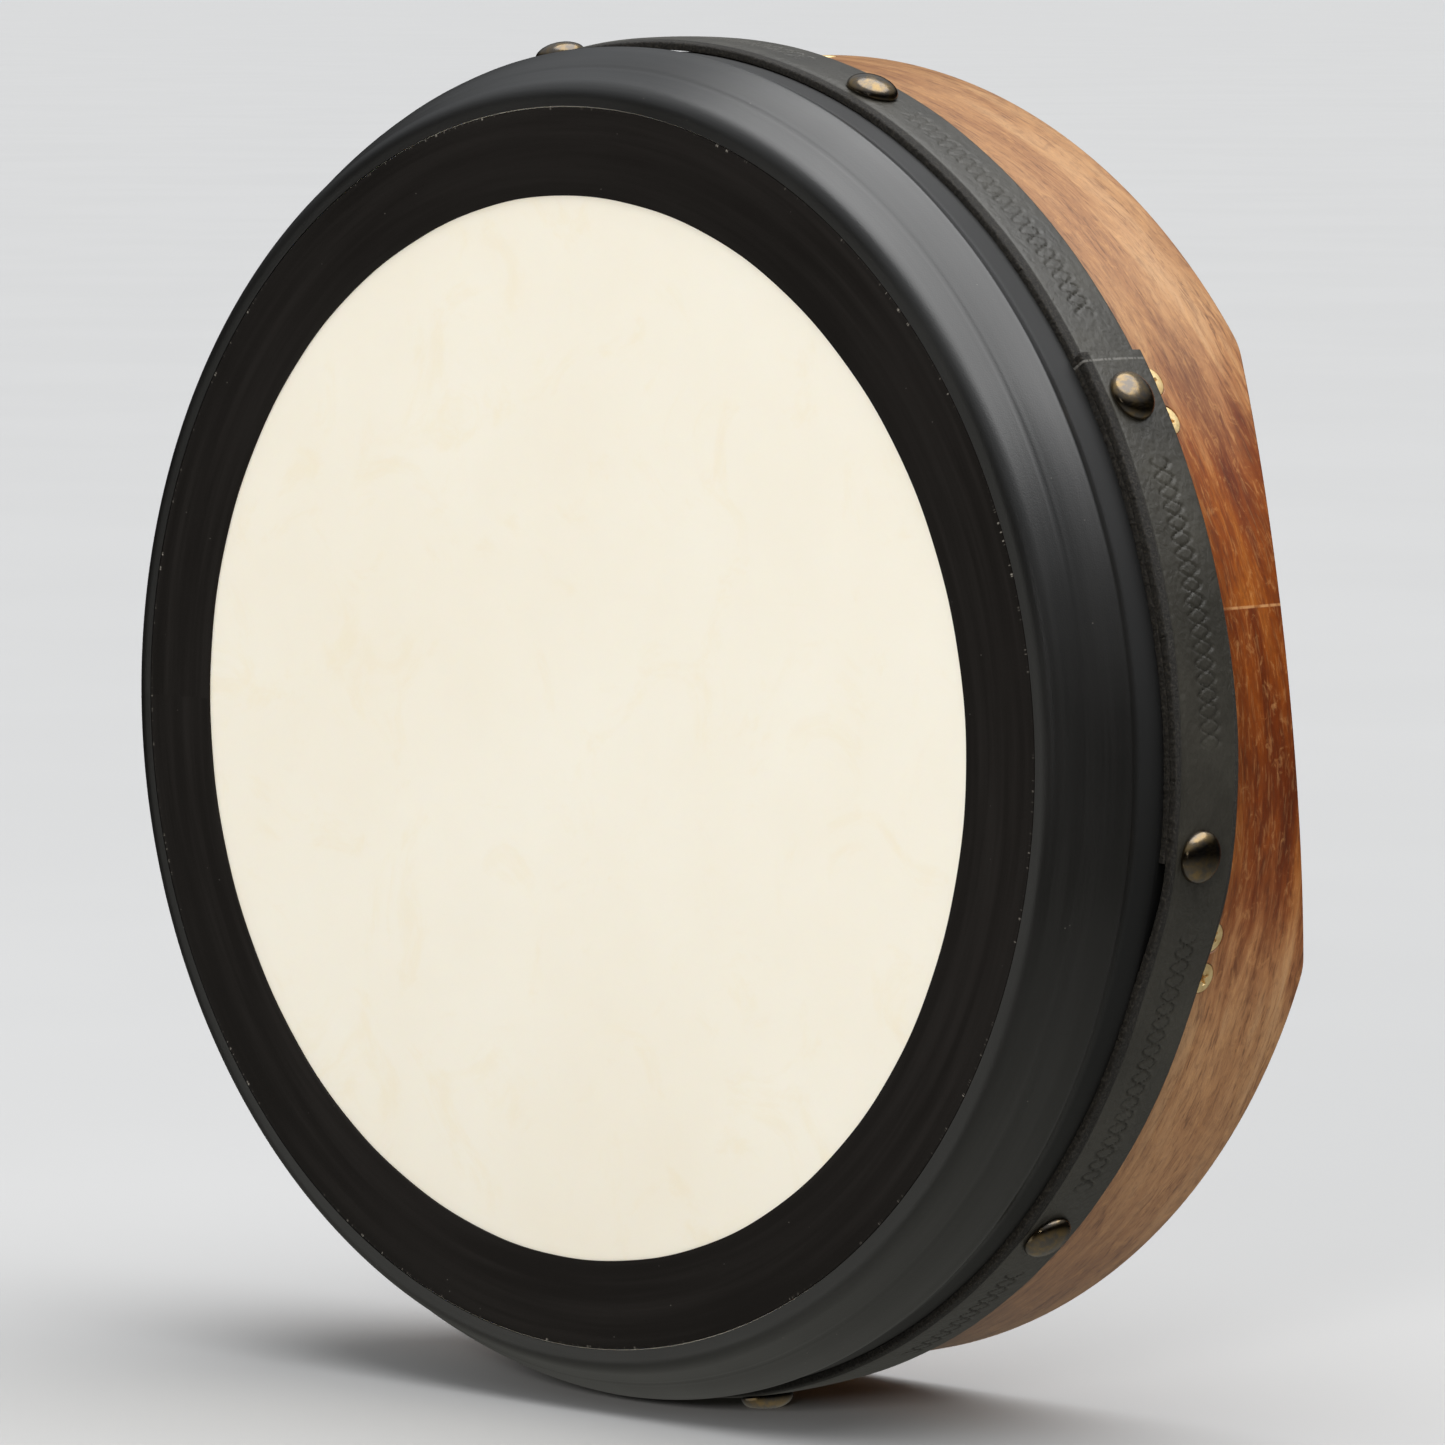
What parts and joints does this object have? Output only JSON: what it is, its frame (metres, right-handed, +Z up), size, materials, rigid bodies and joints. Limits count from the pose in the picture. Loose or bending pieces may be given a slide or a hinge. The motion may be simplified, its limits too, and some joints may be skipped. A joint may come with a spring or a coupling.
{
  "type": "frame drum",
  "caption": "Tunable one-headed frame drum with a taped goat skin, leather band, domed tacks, inner tuning ring, crossbar and an arm cutaway in its back edge.",
  "frame": {"origin": "middle of the crossbar, on the drum's axis, where the hand holds the drum", "axes": "+Y along the drum's axis from the skin towards the open back, +Z up along the crossbar, +X towards the arm cutaway"},
  "size_m": [0.3703, 0.1031, 0.3643],
  "materials": {
    "shell_wood": "satin varnish over red-brown figured veneer",
    "ring_wood": "bare, sanded",
    "bar_wood": "satin varnish",
    "goatskin": "matte natural goat skin",
    "black_tape": "matte black cloth tape",
    "black_leather": "satin, lightly creased",
    "antique_brass": "darkened, polished",
    "brass": "bright",
    "plated_steel": "satin plating"
  },
  "bodies": {
    "drum": {"shell": "shell_wood", "skin": "goatskin", "tape_face": "black_tape", "tape_shoulder": "black_tape", "leather_band": "black_leather", "tack_01": "antique_brass", "tack_02": "antique_brass", "tack_03": "antique_brass", "tack_04": "antique_brass", "tack_05": "antique_brass", "tack_06": "antique_brass", "tack_07": "antique_brass", "tack_08": "antique_brass", "tack_09": "antique_brass", "tack_10": "antique_brass", "crossbar": "bar_wood", "tuner_bracket_1": "plated_steel", "bracket_screw_1a": "brass", "bracket_screw_1b": "brass", "tuner_bracket_2": "plated_steel", "bracket_screw_2a": "brass", "bracket_screw_2b": "brass", "tuner_bracket_3": "plated_steel", "bracket_screw_3a": "brass", "bracket_screw_3b": "brass", "tuner_bracket_4": "plated_steel", "bracket_screw_4a": "brass", "bracket_screw_4b": "brass", "tuner_bracket_5": "plated_steel", "bracket_screw_5a": "brass", "bracket_screw_5b": "brass", "tuner_bracket_6": "plated_steel", "bracket_screw_6a": "brass", "bracket_screw_6b": "brass", "tuner_bracket_7": "plated_steel", "bracket_screw_7a": "brass", "bracket_screw_7b": "brass", "tuner_bracket_8": "plated_steel", "bracket_screw_8a": "brass", "bracket_screw_8b": "brass", "bar_screw_1": "brass", "bar_screw_2": "brass", "bar_screw_3": "brass", "bar_screw_4": "brass"},
    "tuning_ring": {"tuning_ring": "ring_wood"},
    "tuner_1": {"tuner_bolt_1": "plated_steel"},
    "tuner_2": {"tuner_bolt_2": "plated_steel"},
    "tuner_3": {"tuner_bolt_3": "plated_steel"},
    "tuner_4": {"tuner_bolt_4": "plated_steel"},
    "tuner_5": {"tuner_bolt_5": "plated_steel"},
    "tuner_6": {"tuner_bolt_6": "plated_steel"},
    "tuner_7": {"tuner_bolt_7": "plated_steel"},
    "tuner_8": {"tuner_bolt_8": "plated_steel"}
  },
  "joints": [
    {"name": "ring_slide", "type": "slide", "parent": "drum", "child": "tuning_ring", "axis": [0, 1, 0], "range_m": [0, 0.003]},
    {"name": "tuner_turn_1", "type": "hinge", "parent": "tuning_ring", "child": "tuner_1", "pos_m": [0.1405, -0.0162, 0.08243], "axis": [0, 1, 0], "range_deg": [0, 1081]},
    {"name": "tuner_turn_2", "type": "hinge", "parent": "tuning_ring", "child": "tuner_2", "pos_m": [0.15595, -0.0162, -0.04708], "axis": [0, 1, 0], "range_deg": [0, 1081]},
    {"name": "tuner_turn_3", "type": "hinge", "parent": "tuning_ring", "child": "tuner_3", "pos_m": [0.07898, -0.0162, -0.14248], "axis": [0, 1, 0], "range_deg": [0, 1081]},
    {"name": "tuner_turn_4", "type": "hinge", "parent": "tuning_ring", "child": "tuner_4", "pos_m": [-0.04353, -0.0162, -0.15698], "axis": [0, 1, 0], "range_deg": [0, 1081]},
    {"name": "tuner_turn_5", "type": "hinge", "parent": "tuning_ring", "child": "tuner_5", "pos_m": [-0.14108, -0.0162, -0.08145], "axis": [0, 1, 0], "range_deg": [0, 1081]},
    {"name": "tuner_turn_6", "type": "hinge", "parent": "tuning_ring", "child": "tuner_6", "pos_m": [-0.15771, -0.0162, 0.04079], "axis": [0, 1, 0], "range_deg": [0, 1081]},
    {"name": "tuner_turn_7", "type": "hinge", "parent": "tuning_ring", "child": "tuner_7", "pos_m": [-0.0839, -0.0162, 0.13963], "axis": [0, 1, 0], "range_deg": [0, 1081]},
    {"name": "tuner_turn_8", "type": "hinge", "parent": "tuning_ring", "child": "tuner_8", "pos_m": [0.04079, -0.0162, 0.15771], "axis": [0, 1, 0], "range_deg": [0, 1081]}
  ],
  "couplings": [
    {"joint": "tuner_turn_1", "follows": "ring_slide", "rad_per_m": 6283.2},
    {"joint": "tuner_turn_2", "follows": "ring_slide", "rad_per_m": 6283.2},
    {"joint": "tuner_turn_3", "follows": "ring_slide", "rad_per_m": 6283.2},
    {"joint": "tuner_turn_4", "follows": "ring_slide", "rad_per_m": 6283.2},
    {"joint": "tuner_turn_5", "follows": "ring_slide", "rad_per_m": 6283.2},
    {"joint": "tuner_turn_6", "follows": "ring_slide", "rad_per_m": 6283.2},
    {"joint": "tuner_turn_7", "follows": "ring_slide", "rad_per_m": 6283.2},
    {"joint": "tuner_turn_8", "follows": "ring_slide", "rad_per_m": 6283.2}
  ]
}
